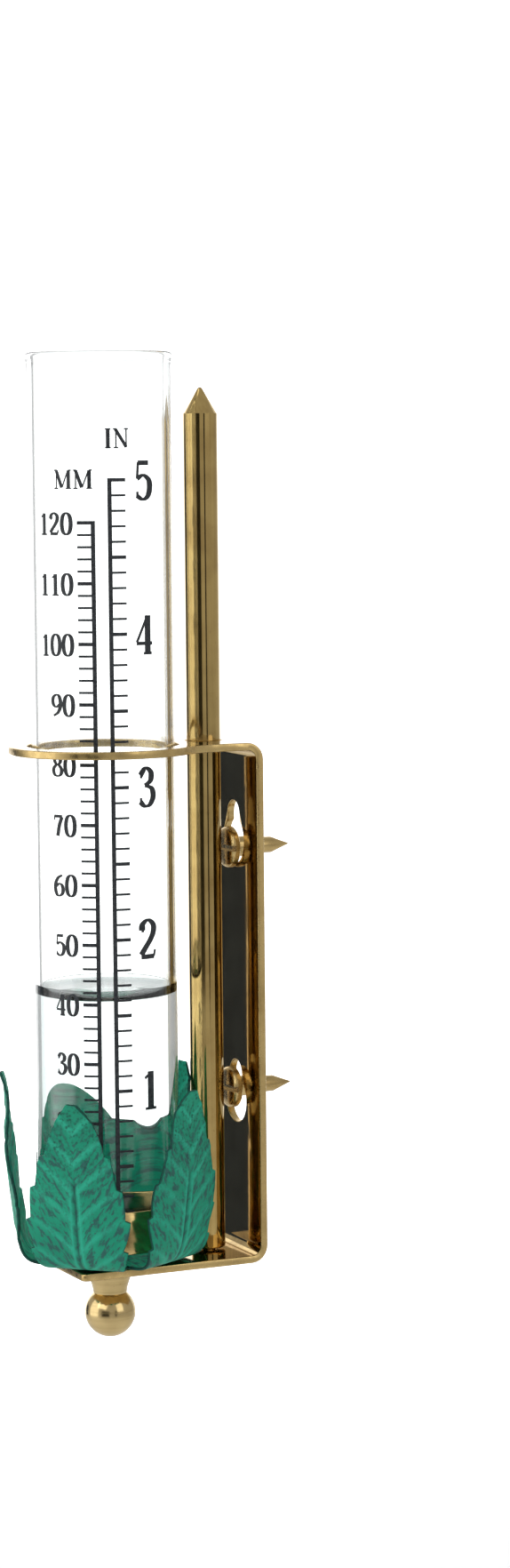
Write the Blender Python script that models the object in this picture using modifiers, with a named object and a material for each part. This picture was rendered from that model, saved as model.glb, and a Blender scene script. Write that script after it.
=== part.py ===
"""A wall-mounted rain gauge: a glass measuring tube in a bent brass bracket, with a leaf cup under it.

Metres, +Z up. The origin is the centre of the bracket's rear face, and -Y is the front.
"""

import math

import bmesh
import bpy
from mathutils import Matrix, Vector

MM = 0.001
GAP = 0.3 * MM  # kept between pieces that touch in the real gauge

# Bracket: one brass strip bent into a C, with a ring at the end of its top arm
STRIP_THICK = 1.3 * MM
STRIP_HALF = 9.525 * MM
BEND_INNER_R = 1.6 * MM
BRACKET_HALF_HEIGHT = 44.6 * MM
EDGE_ROUND = 0.15 * MM
BEND_STEPS = 6
RING_HOLE_R = 12.8 * MM
RING_OUTER_R = 15.9 * MM
FAIRING_R = 12.0 * MM
ARM_OVERHANG = 8.9 * MM
ARM_CORNER_R = 1.0 * MM
KEY_ROUND_R = 4.0 * MM
KEY_SLOT_HALF = 2.3 * MM
KEY_SLOT_RISE = 4.5 * MM
KEY_ROUND_Z = (27.25 * MM, -17.65 * MM)
STUD_HOLE_R = 2.3 * MM
ROD_HOLE_R = 3.2 * MM
TENON_HOLE_R = 1.45 * MM

# Where the tube and the rod stand
TUBE_Y = -25.4 * MM
ROD_Y = TUBE_Y + 18.6 * MM
SCALE_ZERO_Z = -37.85 * MM
ARM_TOP_Z = -BRACKET_HALF_HEIGHT + STRIP_THICK

# Leaves: five on one stamped rosette of thin sheet, under the socket
LEAF_THICK = 0.6 * MM
LEAF_FLAT_Z = ARM_TOP_Z + GAP + LEAF_THICK / 2
LEAF_COUNT = 5
LEAF_FIRST_TURN = 47.5  # degrees from the front, towards +X
LEAF_BY_ROD = 2  # the one that the rod pushes in
LEAF_RISE = (0.965, 1.0, 1.06, 1.03, 1.06)  # each leaf is bent up by hand to a height of its own

# Socket: a turned cup with a boss, standing on the leaves
BOSS_BASE_Z = LEAF_FLAT_Z + LEAF_THICK / 2 + GAP
BOSS_R = 3.8 * MM
SOCKET_OUTER_R = 13.0 * MM
SOCKET_INNER_R = 12.45 * MM
SOCKET_BASE_Z = SCALE_ZERO_Z - 2.3 * MM
SOCKET_FLOOR_Z = SCALE_ZERO_Z - 1.4 * MM
SOCKET_RIM_Z = SCALE_ZERO_Z + 5.0 * MM
SOCKET_CHAMFER = 0.15 * MM
SOCKET_OUTER_CORNER_R = 0.8 * MM
SOCKET_INNER_CORNER_R = 0.5 * MM

# Glass tube
TUBE_OUTER_R = 12.1 * MM
TUBE_WALL = 1.2 * MM
TUBE_BASE_Z = SOCKET_FLOOR_Z + GAP
TUBE_FLOOR_Z = SCALE_ZERO_Z + 0.1 * MM
TUBE_RIM_Z = SCALE_ZERO_Z + 148.2 * MM
TUBE_CORNER_R = 1.8 * MM
TUBE_INNER_CORNER_R = 1.4 * MM
TUBE_STEPS = 48
# The rounded rim from the bore over to the outside, as (outwards from the outer wall, down from the top) in mm
TUBE_RIM = ((-1.095, 0.35), (-0.66, 0.0), (0.25, 0.3), (0.35, 0.7), (0.23, 1.2), (0.0, 2.2))
TUBE_BORE_TOP = 2.0 * MM  # below the top, where the straight bore starts

# Finial: a ball knob on a stud that clamps arm, leaves and socket together
KNOB_TOP_Z = -BRACKET_HALF_HEIGHT - GAP
STUD_R = 2.0 * MM
STUD_CHAMFER = 0.3 * MM
STUD_TOP_Z = SOCKET_FLOOR_Z - 0.5 * MM - GAP
STUD_DEPTH_IN_KNOB = 5.0 * MM
KNOB_BALL_R = 4.33 * MM
KNOB_BALL_DROP = 7.5 * MM
KNOB_NECK_TURN = 49  # degrees above the ball's equator where the neck meets it
# Flange and cone of the knob, as (radius, down from the top) in mm
KNOB_FLANGE = (
    (4.05, 0.0),
    (4.2, 0.15),
    (4.2, 0.5),
    (4.05, 0.65),
    (3.75, 0.8),
    (3.55, 1.6),
    (3.1, 3.1),
    (2.86, 4.0),
)

# Guard rod: loose in its two holes
ROD_R = 2.9 * MM
ROD_BASE_Z = ARM_TOP_Z + GAP
ROD_TIP_Z = SCALE_ZERO_Z + 142.3 * MM
ROD_POINT = 4.3 * MM
TENON_R = 1.15 * MM
TENON_LENGTH = STRIP_THICK + GAP + 0.4 * MM
# The blunted tip of the rod, as (radius, up from its end) in mm
ROD_TIP = ((0.0, 0.0), (0.35, -0.1), (0.55, -0.45))
# The broken edges under its point and at its foot, as (outwards from its side, up from the place) in mm
ROD_SHOULDER = ((-0.25, 0.12), (0.0, -0.15))
ROD_FOOT = ((0.0, 0.5), (-0.4, 0.0))

# Mounting screws, through the keyholes into the post
SCREW_Z = (26.05 * MM, -15.55 * MM)
SCREW_HEAD_R = 3.53 * MM
SCREW_HEAD_THICK = 1.68 * MM
SCREW_SHANK_R = 1.75 * MM
SCREW_THREAD_R = 2.05 * MM
SCREW_ROOT_R = 1.45 * MM
SCREW_THREAD_PITCH = 1.8 * MM
SCREW_THREADS = 4
SCREW_PLAIN = 2.4 * MM
SCREW_TAPER = 0.35 * MM  # that each of the threads loses towards the point
SCREW_POINT = 1.0 * MM
SCREW_SLOT_WIDTH = 1.0 * MM
SCREW_SLOT_DEPTH = 0.8 * MM
# The head from the middle of its top to its edge, as (radius, down from the top) in mm
SCREW_HEAD = ((0.0, 0.0), (1.94, 0.05), (3.08, 0.22), (3.43, 0.5), (3.53, 0.85))

for old in list(bpy.data.objects):
    bpy.data.objects.remove(old, do_unlink=True)

gauge_parts = bpy.data.collections.new("rain_gauge")
bpy.context.scene.collection.children.link(gauge_parts)
helpers = bpy.data.collections.new("helpers")
helpers.hide_render = True
bpy.context.scene.collection.children.link(helpers)


def material(name, colour, roughness, metallic, transmission=0.0):
    made = bpy.data.materials.new(name)
    made.use_nodes = True
    surface = made.node_tree.nodes["Principled BSDF"]
    surface.inputs["Base Color"].default_value = (*colour, 1.0)
    surface.inputs["Roughness"].default_value = roughness
    surface.inputs["Metallic"].default_value = metallic
    surface.inputs["Transmission Weight"].default_value = transmission
    made.diffuse_color = (*colour, 1.0)
    return made


BRACKET_BRASS = material("bracket_brass", (0.72, 0.55, 0.28), 0.15, 1.0)
TURNED_BRASS = material("turned_brass", (0.78, 0.60, 0.30), 0.25, 1.0)
SCREW_BRASS = material("screw_brass", (0.74, 0.58, 0.32), 0.3, 1.0)
CLEAR_GLASS = material("clear_glass", (0.95, 0.97, 0.97), 0.02, 0.0, 1.0)
VERDIGRIS = material("verdigris", (0.05, 0.42, 0.28), 0.75, 0.2)


def add_object(name, mesh, paint, location=(0, 0, 0), collection=gauge_parts):
    made = bpy.data.objects.new(name, mesh)
    made.location = location
    collection.objects.link(made)
    if paint:
        mesh.materials.append(paint)
    return made


def smooth(made, angle=32):
    """Smooth faces, with sharp edges kept wherever the surface turns by more than the angle."""
    for face in made.data.polygons:
        face.use_smooth = True
    made.data.set_sharp_from_angle(angle=math.radians(angle))


def arc(centre_x, centre_y, radius, start, end, steps):
    """Points on an arc, from start to end in degrees, both included."""
    points = []
    for step in range(steps + 1):
        turn = math.radians(start + (end - start) * step / steps)
        points.append((centre_x + radius * math.cos(turn), centre_y + radius * math.sin(turn)))
    return points


def ring_points(centre_x, centre_y, radius, steps):
    return arc(centre_x, centre_y, radius, 0, 360, steps)[:-1]


def from_mm(pairs, radius=0.0, height=0.0, up=1):
    """Profile points in metres, from pairs in mm outwards from a radius and up, or down, from a height."""
    return [(radius + x * MM, height + up * y * MM) for x, y in pairs]


def flat_shape(name, loops, thickness, edge_round):
    """A flat sheet piece as a mesh: the first loop is its outline, and the others are its holes."""
    curve = bpy.data.curves.new(name, "CURVE")
    curve.dimensions = "2D"
    curve.fill_mode = "BOTH"
    curve.extrude = thickness / 2 - edge_round
    curve.bevel_depth = edge_round
    curve.bevel_resolution = 0
    curve.offset = -edge_round
    for loop in loops:
        spline = curve.splines.new("POLY")
        spline.points.add(len(loop) - 1)
        for point, (x, y) in zip(spline.points, loop):
            point.co = (x, y, 0, 1)
        spline.use_cyclic_u = True
    guide = add_object(name + "_outline", curve, None, collection=helpers)
    mesh = bpy.data.meshes.new_from_object(guide)
    mesh.name = name
    bpy.data.objects.remove(guide, do_unlink=True)
    sheet = bmesh.new()
    sheet.from_mesh(mesh)
    bmesh.ops.remove_doubles(sheet, verts=sheet.verts, dist=0.001 * MM)
    bmesh.ops.recalc_face_normals(sheet, faces=sheet.faces)
    sheet.to_mesh(mesh)
    sheet.free()
    return mesh


def turned(name, profile, paint, location, steps):
    """A turned piece: the profile of (radius, height) runs down its outer side and back up its bore."""
    mesh = bpy.data.meshes.new(name)
    outline = bmesh.new()
    points = [outline.verts.new((radius, 0, height)) for radius, height in profile]
    for upper, lower in zip(points, points[1:]):
        outline.edges.new((upper, lower))
    outline.to_mesh(mesh)
    outline.free()
    made = add_object(name, mesh, paint, location)
    screw = made.modifiers.new("Turn", "SCREW")
    screw.axis = "Z"
    screw.steps = steps
    screw.render_steps = steps
    screw.use_merge_vertices = True
    screw.merge_threshold = 0.005 * MM
    screw.use_smooth_shade = True
    return made


# Bracket ---------------------------------------------------------------------------------------------------

STRIP_MID_R = BEND_INNER_R + STRIP_THICK / 2
PLATE_STRAIGHT = BRACKET_HALF_HEIGHT - STRIP_THICK - BEND_INNER_R
BEND_LENGTH = STRIP_MID_R * math.pi / 2
BEND_Y = -STRIP_THICK - BEND_INNER_R


def along_arm(y):
    """Distance along the unbent strip, from the plate's centre to depth y on an arm."""
    return PLATE_STRAIGHT + BEND_LENGTH + BEND_Y - y


def bent(point):
    """Where a point of the flat blank goes when the strip is bent into a C."""
    x, along, out = point
    side = math.copysign(1, along)
    past = abs(along) - PLATE_STRAIGHT
    if past <= 0:
        return Vector((x, out - STRIP_THICK / 2, along))
    if past >= BEND_LENGTH:
        height = PLATE_STRAIGHT + STRIP_MID_R + out
        return Vector((x, BEND_Y - (past - BEND_LENGTH), side * height))
    turn = past / STRIP_MID_R
    radius = STRIP_MID_R + out
    return Vector((x, BEND_Y + radius * math.cos(turn), side * (PLATE_STRAIGHT + radius * math.sin(turn))))


def blank_outline():
    """The unbent strip: ring at the top, fairings into the strip, and a square lower end."""
    ring_y = along_arm(TUBE_Y)
    reach = RING_OUTER_R + FAIRING_R
    fairing_x = STRIP_HALF + FAIRING_R
    drop = math.sqrt(reach**2 - fairing_x**2)
    lean = math.degrees(math.asin(drop / reach))
    end_y = -along_arm(TUBE_Y - ARM_OVERHANG)
    corner_x = STRIP_HALF - ARM_CORNER_R
    corner_y = end_y + ARM_CORNER_R
    outline = arc(-corner_x, corner_y, ARM_CORNER_R, 180, 270, 4)
    outline += arc(corner_x, corner_y, ARM_CORNER_R, 270, 360, 4)
    outline += arc(fairing_x, ring_y - drop, FAIRING_R, 180, 180 - lean, 7)
    outline += arc(0, ring_y, RING_OUTER_R, -lean, 180 + lean, 44)[1:-1]
    outline += arc(-fairing_x, ring_y - drop, FAIRING_R, lean, 0, 7)
    return outline


def keyhole(round_y):
    """A round hole with a narrower slot above it."""
    spread = math.degrees(math.asin(KEY_SLOT_HALF / KEY_ROUND_R))
    points = arc(0, round_y, KEY_ROUND_R, 90 + spread, 450 - spread, 24)
    return points + arc(0, round_y + KEY_SLOT_RISE, KEY_SLOT_HALF, 0, 180, 12)


def make_bracket():
    ring_y = along_arm(TUBE_Y)
    rod_y = along_arm(ROD_Y)
    loops = [blank_outline(), ring_points(0, ring_y, RING_HOLE_R, 56)]
    loops += [keyhole(height) for height in KEY_ROUND_Z]
    loops.append(ring_points(0, rod_y, ROD_HOLE_R, 24))
    loops.append(ring_points(0, -rod_y, TENON_HOLE_R, 16))
    loops.append(ring_points(0, -ring_y, STUD_HOLE_R, 20))
    mesh = flat_shape("bracket", loops, STRIP_THICK, EDGE_ROUND)
    strip = bmesh.new()
    strip.from_mesh(mesh)
    for side in (-1, 1):
        for step in range(BEND_STEPS + 1):
            line = side * (PLATE_STRAIGHT + BEND_LENGTH * step / BEND_STEPS)
            bmesh.ops.bisect_plane(
                strip,
                geom=strip.verts[:] + strip.edges[:] + strip.faces[:],
                plane_co=(0, line, 0),
                plane_no=(0, 1, 0),
                dist=0.001 * MM,
            )
    for vertex in strip.verts:
        vertex.co = bent(vertex.co)
    # The bend swaps depth and height, which turns the faces inwards
    bmesh.ops.reverse_faces(strip, faces=strip.faces[:])
    strip.to_mesh(mesh)
    strip.free()
    made = add_object("bracket", mesh, BRACKET_BRASS)
    smooth(made, 40)
    return made


# Turned pieces ---------------------------------------------------------------------------------------------


def make_tube():
    inner = TUBE_OUTER_R - TUBE_WALL
    height = TUBE_RIM_Z - TUBE_BASE_Z
    floor = TUBE_FLOOR_Z - TUBE_BASE_Z
    corner = TUBE_CORNER_R
    inside = TUBE_INNER_CORNER_R
    profile = from_mm(TUBE_RIM, TUBE_OUTER_R, height, -1)
    profile += arc(TUBE_OUTER_R - corner, corner, corner, 0, -90, 4)
    profile += [(0, 0), (0, floor)]
    profile += arc(inner - inside, floor + inside, inside, -90, 0, 4)
    profile.append((inner, height - TUBE_BORE_TOP))
    profile.append(profile[0])
    return turned("gauge_tube", profile, CLEAR_GLASS, (0, TUBE_Y, TUBE_BASE_Z), TUBE_STEPS)


def make_socket():
    """The cup, its boss, and the blind hole in the boss for the stud."""
    rim = SOCKET_RIM_Z - BOSS_BASE_Z
    floor = SOCKET_FLOOR_Z - BOSS_BASE_Z
    base = SOCKET_BASE_Z - BOSS_BASE_Z
    hole_top = STUD_TOP_Z + GAP - BOSS_BASE_Z
    bore = STUD_R + GAP
    chamfer = SOCKET_CHAMFER
    outer, inner = SOCKET_OUTER_CORNER_R, SOCKET_INNER_CORNER_R
    profile = [(SOCKET_OUTER_R - chamfer, rim), (SOCKET_OUTER_R, rim - chamfer)]
    profile += arc(SOCKET_OUTER_R - outer, base + outer, outer, 0, -90, 3)
    profile += [(BOSS_R, base), (BOSS_R, chamfer), (BOSS_R - chamfer, 0)]
    profile += [(bore, 0), (bore, hole_top), (0, hole_top), (0, floor)]
    profile += arc(SOCKET_INNER_R - inner, floor + inner, inner, -90, 0, 3)
    profile += [(SOCKET_INNER_R, rim - chamfer), (SOCKET_INNER_R + chamfer, rim)]
    profile.append(profile[0])
    return turned("tube_socket", profile, TURNED_BRASS, (0, TUBE_Y, BOSS_BASE_Z), 40)


def make_knob():
    """The finial: a flange and a cone down to a neck, then a ball, with a blind hole from above."""
    bore = STUD_R + GAP
    hole_end = -STUD_DEPTH_IN_KNOB - GAP
    profile = from_mm(KNOB_FLANGE, up=-1)
    profile += arc(0, -KNOB_BALL_DROP, KNOB_BALL_R, KNOB_NECK_TURN, -90, 11)[:-1]
    profile += [(0, -KNOB_BALL_DROP - KNOB_BALL_R), (0, hole_end), (bore, hole_end), (bore, 0)]
    profile.append(profile[0])
    return turned("finial_knob", profile, TURNED_BRASS, (0, TUBE_Y, KNOB_TOP_Z), 32)


def make_stud():
    length = STUD_TOP_Z - (KNOB_TOP_Z - STUD_DEPTH_IN_KNOB)
    narrow = STUD_R - STUD_CHAMFER
    profile = [(0, length), (narrow, length), (STUD_R, length - STUD_CHAMFER)]
    profile += [(STUD_R, STUD_CHAMFER), (narrow, 0), (0, 0)]
    return turned("finial_stud", profile, SCREW_BRASS, (0, TUBE_Y, STUD_TOP_Z - length), 24)


def make_rod():
    """The rod, pointed at the top, with a thin tenon that drops into the lower arm."""
    length = ROD_TIP_Z - ROD_BASE_Z
    tenon_edge = 0.2 * MM
    profile = from_mm(ROD_TIP, height=length)
    profile += from_mm(ROD_SHOULDER, ROD_R, length - ROD_POINT)
    profile += from_mm(ROD_FOOT, ROD_R)
    profile += [(TENON_R, 0), (TENON_R, tenon_edge - TENON_LENGTH)]
    profile += [(TENON_R - tenon_edge, -TENON_LENGTH), (0, -TENON_LENGTH)]
    return turned("guard_rod", profile, TURNED_BRASS, (0, ROD_Y, ROD_BASE_Z), 32)


def make_screw(name, height):
    """A slotted pan-head screw. It is turned about +Z, then laid with its point towards +Y."""
    top = SCREW_HEAD_THICK
    end = -SCREW_PLAIN - SCREW_THREADS * SCREW_THREAD_PITCH
    edge = 0.1 * MM
    profile = from_mm(SCREW_HEAD, height=top, up=-1)
    profile += [(SCREW_HEAD_R, edge), (SCREW_HEAD_R - edge, 0)]
    profile += [(SCREW_SHANK_R, 0), (SCREW_SHANK_R, -SCREW_PLAIN)]
    for thread in range(SCREW_THREADS):
        start = -SCREW_PLAIN - thread * SCREW_THREAD_PITCH
        crest = SCREW_THREAD_R - thread * SCREW_TAPER
        root = min(SCREW_ROOT_R, crest - SCREW_TAPER)
        profile += [(root, start - SCREW_THREAD_PITCH * 0.2), (crest, start - SCREW_THREAD_PITCH * 0.5)]
        profile.append((root, start - SCREW_THREAD_PITCH))
    profile.append((0, end - SCREW_POINT))
    made = turned(name, profile, SCREW_BRASS, (0, -STRIP_THICK - GAP, height), 20)
    made.rotation_euler = (math.radians(90), 0, 0)
    slot = bpy.data.meshes.new(name + "_slot")
    block = bmesh.new()
    bmesh.ops.create_cube(block, size=1)
    size = (SCREW_HEAD_R * 2.4, SCREW_SLOT_WIDTH, SCREW_SLOT_DEPTH * 2)
    bmesh.ops.scale(block, verts=block.verts, vec=size)
    bmesh.ops.translate(block, verts=block.verts, vec=(0, 0, top))
    block.to_mesh(slot)
    block.free()
    cutter = add_object(name + "_slot_cutter", slot, None, collection=helpers)
    cutter.parent = made
    cutter.hide_render = True
    cutter.display_type = "WIRE"
    cut = made.modifiers.new("Slot", "BOOLEAN")
    cut.operation = "DIFFERENCE"
    cut.solver = "EXACT"
    cut.object = cutter
    return made


# Leaves ----------------------------------------------------------------------------------------------------

# Along a leaf in mm, from the stud hole outwards: radius, height above the flat hub, and half of the width.
# On the hub each leaf takes its fifth of the circle.
WEB_SLOPE = math.tan(math.pi / LEAF_COUNT)
LEAF_RUN = (
    (2.3, 0.0, 2.3 * WEB_SLOPE),
    (5.3, 0.0, 5.3 * WEB_SLOPE),
    (8.3, 0.0, 8.3 * WEB_SLOPE),
    (11.2, 0.1, 6.4),
    (13.4, 0.9, 7.4),
    (14.7, 2.5, 8.2),
    (15.5, 4.9, 8.8),
    (16.0, 8.0, 9.2),
    (16.4, 11.2, 9.0),
    (16.8, 14.4, 8.4),
    (17.1, 17.6, 7.4),
    (17.2, 20.8, 6.2),
    (17.1, 24.0, 4.8),
    (17.2, 27.2, 3.0),
    (18.0, 30.0, 0.9),
)
LEAF_TIP_HALF = 0.4 * MM
HUB_EDGE = 8.3 * MM  # radius where the leaves part
HUB_BLEND = 3.0 * MM
LEAF_STEPS = 24  # faces from the stud hole to a tip
LEAF_ACROSS = 6
LEAF_CURL_R = 45.0 * MM
LEAF_CURL_START = 6.0 * MM  # height by which the leaf has its full curl
PUSHED_CURL_R = 13.0 * MM
PUSHED_R = 14.5 * MM
PUSHED_TIP_R = 15.8 * MM
PUSHED_FLARE_FROM = 0.8
LEAF_RIB = 0.3 * MM  # height of the ridge along the middle
LEAF_TOOTH = 0.9 * MM
LEAF_TEETH = 4
LEAF_TEETH_FROM = 0.4
LEAF_TEETH_TO = 0.92


def on_run(share):
    """Radius, height and half width at a share of the leaf's length, on a smooth curve through its points."""
    place = min(share, 0.9999) * (len(LEAF_RUN) - 1)
    index = int(place)
    t = place - index
    before = LEAF_RUN[max(index - 1, 0)]
    start, end = LEAF_RUN[index], LEAF_RUN[index + 1]
    after = LEAF_RUN[min(index + 2, len(LEAF_RUN) - 1)]
    values = []
    for a, b, c, d in zip(before, start, end, after):
        bend = 2 * b + (c - a) * t + (2 * a - 5 * b + 4 * c - d) * t * t + (3 * b - a - 3 * c + d) * t**3
        values.append(bend / 2 * MM)
    radius, height, half = values
    return radius, max(height, 0.0), min(half, radius * WEB_SLOPE)


def tooth_depth(share):
    """How far the sawn edge is pulled in at a share of the leaf's length."""
    if not LEAF_TEETH_FROM < share < LEAF_TEETH_TO:
        return 0.0
    along = (share - LEAF_TEETH_FROM) / (LEAF_TEETH_TO - LEAF_TEETH_FROM) * LEAF_TEETH
    return LEAF_TOOTH * (1 - along % 1.0)


def leaf_point(share, across, number):
    """A point of a leaf that lies along +X, at a share of its length and a place across it (-1 to 1)."""
    radius, height, half = on_run(share)
    behind = on_run(max(share - 0.01, 0))
    ahead = on_run(min(share + 0.01, 1))
    slope = Vector((ahead[0] - behind[0], ahead[1] - behind[1])).normalized()
    inward = Vector((-slope.y, slope.x))
    if radius < HUB_EDGE:
        # Round the hole the rows are arcs, and at the hub's edge they are straight
        straight = (radius - LEAF_RUN[0][0] * MM) / (HUB_EDGE - LEAF_RUN[0][0] * MM)
        turn = across * math.pi / LEAF_COUNT
        round_row = Vector((radius * math.cos(turn), radius * math.sin(turn), 0))
        straight_row = Vector((radius, radius * math.tan(turn), 0))
        return round_row.lerp(straight_row, max(straight, 0))
    half = max(half - tooth_depth(share), LEAF_TIP_HALF)
    height *= LEAF_RISE[number]
    curl = min(1.0, height / LEAF_CURL_START)
    curl_r = LEAF_CURL_R
    if number == LEAF_BY_ROD:
        curl_r = PUSHED_CURL_R
        flare = max(0.0, share - PUSHED_FLARE_FROM) / (1 - PUSHED_FLARE_FROM)
        radius = min(radius, PUSHED_R + (PUSHED_TIP_R - PUSHED_R) * flare)
    turn = across * half / curl_r
    offset = curl * curl_r * (1 - math.cos(turn))
    if abs(across) < 0.1 and share > LEAF_TEETH_FROM:
        offset -= LEAF_RIB
    wide = across * half * (1 - curl) + curl_r * math.sin(turn) * curl
    if radius < HUB_EDGE + HUB_BLEND:
        wide = across * half
        offset *= (radius - HUB_EDGE) / HUB_BLEND
    return Vector((radius + inward.x * offset, wide, height + inward.y * offset))


def make_leaves():
    """The rosette: a round hub whose five leaves stand up round the socket."""
    mesh = bpy.data.meshes.new("leaf_rosette")
    rosette = bmesh.new()
    for number in range(LEAF_COUNT):
        leaf = bmesh.ops.create_grid(rosette, x_segments=LEAF_STEPS, y_segments=LEAF_ACROSS, size=1)["verts"]
        for vertex in leaf:
            vertex.co = leaf_point((vertex.co.x + 1) / 2, vertex.co.y, number)
        # A leaf starts along +X, and the front is -Y
        turn = math.radians(LEAF_FIRST_TURN - 90 + number * 360 / LEAF_COUNT)
        bmesh.ops.rotate(rosette, verts=leaf, matrix=Matrix.Rotation(turn, 3, "Z"))
    bmesh.ops.remove_doubles(rosette, verts=rosette.verts, dist=0.01 * MM)
    rosette.to_mesh(mesh)
    rosette.free()
    made = add_object("leaf_rosette", mesh, VERDIGRIS, (0, TUBE_Y, LEAF_FLAT_Z))
    smooth(made, 60)
    sheet = made.modifiers.new("Sheet", "SOLIDIFY")
    sheet.thickness = LEAF_THICK
    sheet.offset = 0
    return made


make_bracket()
make_tube()
make_socket()
make_leaves()
make_knob()
make_stud()
make_rod()
make_screw("mounting_screw_upper", SCREW_Z[0])
make_screw("mounting_screw_lower", SCREW_Z[1])
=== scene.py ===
"""A brass rain gauge with a glass measuring tube and verdigris leaves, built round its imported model."""

import math

import bmesh
import bpy
from mathutils import Euler, Matrix, Vector


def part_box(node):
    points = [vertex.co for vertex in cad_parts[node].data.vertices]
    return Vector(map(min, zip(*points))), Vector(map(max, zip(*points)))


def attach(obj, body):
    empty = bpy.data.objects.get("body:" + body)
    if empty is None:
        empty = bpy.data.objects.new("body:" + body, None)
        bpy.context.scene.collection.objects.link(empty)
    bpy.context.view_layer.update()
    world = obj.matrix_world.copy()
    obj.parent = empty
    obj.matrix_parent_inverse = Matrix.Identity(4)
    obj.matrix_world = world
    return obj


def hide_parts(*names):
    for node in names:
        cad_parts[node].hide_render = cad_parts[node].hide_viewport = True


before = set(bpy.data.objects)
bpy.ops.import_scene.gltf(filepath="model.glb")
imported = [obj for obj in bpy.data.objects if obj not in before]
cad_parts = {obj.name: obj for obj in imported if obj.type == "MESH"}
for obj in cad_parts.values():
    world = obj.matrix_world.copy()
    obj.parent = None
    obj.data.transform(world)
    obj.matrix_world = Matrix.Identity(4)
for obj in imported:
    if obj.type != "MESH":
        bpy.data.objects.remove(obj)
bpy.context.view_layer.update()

MM = 0.001

# Places taken from the frame ---------------------------------------------------------------------------------

TUBE_LOW, TUBE_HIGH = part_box("gauge_tube")
BRACKET_LOW, BRACKET_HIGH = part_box("bracket")
SOCKET_LOW, SOCKET_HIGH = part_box("tube_socket")
ROD_LOW, ROD_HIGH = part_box("guard_rod")
KNOB_LOW, KNOB_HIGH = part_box("finial_knob")
STUD_LOW, STUD_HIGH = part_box("finial_stud")

AXIS_Y = (TUBE_LOW.y + TUBE_HIGH.y) / 2
ROD_Y = (ROD_LOW.y + ROD_HIGH.y) / 2
STRIP_THICK = 1.3 * MM
ARM_TOP_Z = BRACKET_LOW.z + STRIP_THICK
SCALE_ZERO_Z = TUBE_LOW.z + 1.1 * MM  # where the printed scale starts to count
LEAF_THICK = 0.6 * MM
LEAF_FLAT_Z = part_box("leaf_rosette")[0].z + LEAF_THICK / 2

TUBE_R = 12.1 * MM
TUBE_WALL = 1.2 * MM
SCALE_FACING = math.radians(67)  # the printed side, turned from the front towards +X


# Shader maths ------------------------------------------------------------------------------------------------


class Signal:
    """A socket of a paint, so that shader maths reads as arithmetic."""

    def __init__(self, paint, socket):
        self.paint = paint
        self.socket = socket

    def maths(self, operation, first, second):
        return self.paint.node("ShaderNodeMath", {"operation": operation}, {0: first, 1: second})

    def __add__(self, other):
        return self.maths("ADD", self, other)

    def __sub__(self, other):
        return self.maths("SUBTRACT", self, other)

    def __rsub__(self, other):
        return self.maths("SUBTRACT", other, self)

    def __mul__(self, other):
        return self.maths("MULTIPLY", self, other)

    def __pow__(self, other):
        return self.maths("POWER", self, other)

    __radd__ = __add__
    __rmul__ = __mul__


class Paint:
    """A material with one Principled surface, and the nodes that vary it."""

    def __init__(self, name, **constants):
        self.material = bpy.data.materials.new(name)
        self.material.use_nodes = True
        self.tree = self.material.node_tree
        self.surface = self.tree.nodes["Principled BSDF"]
        for socket, value in constants.items():
            self.put(socket.replace("_", " "), value)

    def put(self, socket, value):
        """A value or a signal into a socket of the surface."""
        self.fill(self.surface.inputs[socket], value)

    def fill(self, socket, value):
        if isinstance(value, Signal):
            self.tree.links.new(value.socket, socket)
        elif isinstance(value, tuple) and len(value) == 3 and socket.type == "RGBA":
            socket.default_value = (*value, 1.0)
        else:
            socket.default_value = value

    def node(self, kind, settings, sockets, output=0):
        made = self.tree.nodes.new(kind)
        for key, value in settings.items():
            if key == "stops":
                ramp = made.color_ramp
                while len(ramp.elements) < len(value):
                    ramp.elements.new(1.0)
                for element, (place, colour) in zip(ramp.elements, value):
                    element.position = place
                    element.color = (*colour, 1.0)
            else:
                setattr(made, key, value)
        for key, value in sockets.items():
            self.fill(made.inputs[key], value)
        return Signal(self, made.outputs[output])

    def place(self, scale=(1, 1, 1)):
        """Object coordinates, stretched along the axes by the given scale."""
        spot = self.node("ShaderNodeTexCoord", {}, {}, "Object")
        return self.node("ShaderNodeMapping", {}, {"Vector": spot, "Scale": scale})

    def noise(self, where, scale, detail=4.0, roughness=0.5):
        sockets = {"Vector": where, "Scale": scale, "Detail": detail, "Roughness": roughness}
        return self.node("ShaderNodeTexNoise", {}, sockets)

    def between(self, value, low, high, to_low=0.0, to_high=1.0):
        """The value, with low to high stretched to to_low to to_high and held there."""
        sockets = {"Value": value, "From Min": low, "From Max": high, "To Min": to_low, "To Max": to_high}
        return self.node("ShaderNodeMapRange", {"clamp": True}, sockets)

    def mix(self, share, first, second):
        return self.node("ShaderNodeMix", {"data_type": "RGBA"}, {0: share, 6: first, 7: second}, 2)

    def ramp(self, share, *stops):
        return self.node("ShaderNodeValToRGB", {"stops": stops}, {0: share})

    def bump(self, height, strength, distance):
        sockets = {"Height": height, "Strength": strength, "Distance": distance}
        self.put("Normal", self.node("ShaderNodeBump", {}, sockets))


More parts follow.
